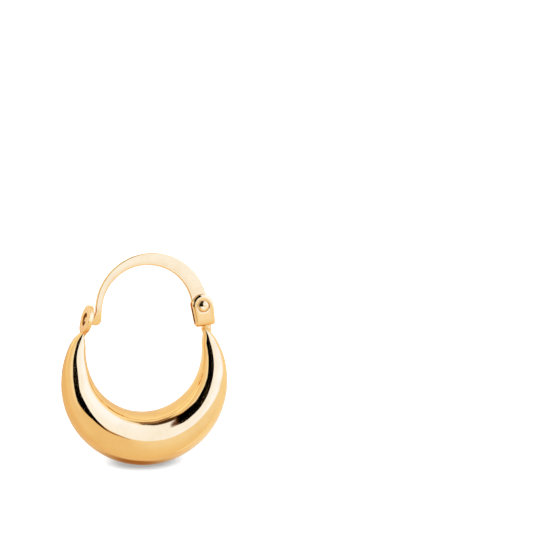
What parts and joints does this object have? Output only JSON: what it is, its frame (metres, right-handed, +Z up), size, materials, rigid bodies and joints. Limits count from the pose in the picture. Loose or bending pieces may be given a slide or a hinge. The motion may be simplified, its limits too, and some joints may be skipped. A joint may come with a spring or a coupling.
{
  "type": "hollow hoop earring",
  "caption": "Hollow puffed crescent hoop earring of polished gold, with a flat arched ear wire that turns on a rivet and closes with a pin in a round catch eye.",
  "frame": {"origin": "the middle of the earring's box, on the surface that it lies on", "axes": "+X to the hinge, +Y from the crescent towards the ear wire, +Z up out of the surface; the hoop lies on its back with its front up"},
  "size_m": [0.0142, 0.0176, 0.005],
  "materials": {
    "gold": "polished 18 carat yellow gold"
  },
  "bodies": {
    "hoop": {"hoop_body": "gold", "hinge_rivet": "gold"},
    "ear_wire": {"ear_wire": "gold"}
  },
  "joints": [
    {"name": "wire_hinge", "type": "hinge", "parent": "hoop", "child": "ear_wire", "pos_m": [0.00498, 0.00426, 0.0008], "axis": [-0.0325, -0.14, -0.9896], "range_deg": [0, 100]}
  ]
}
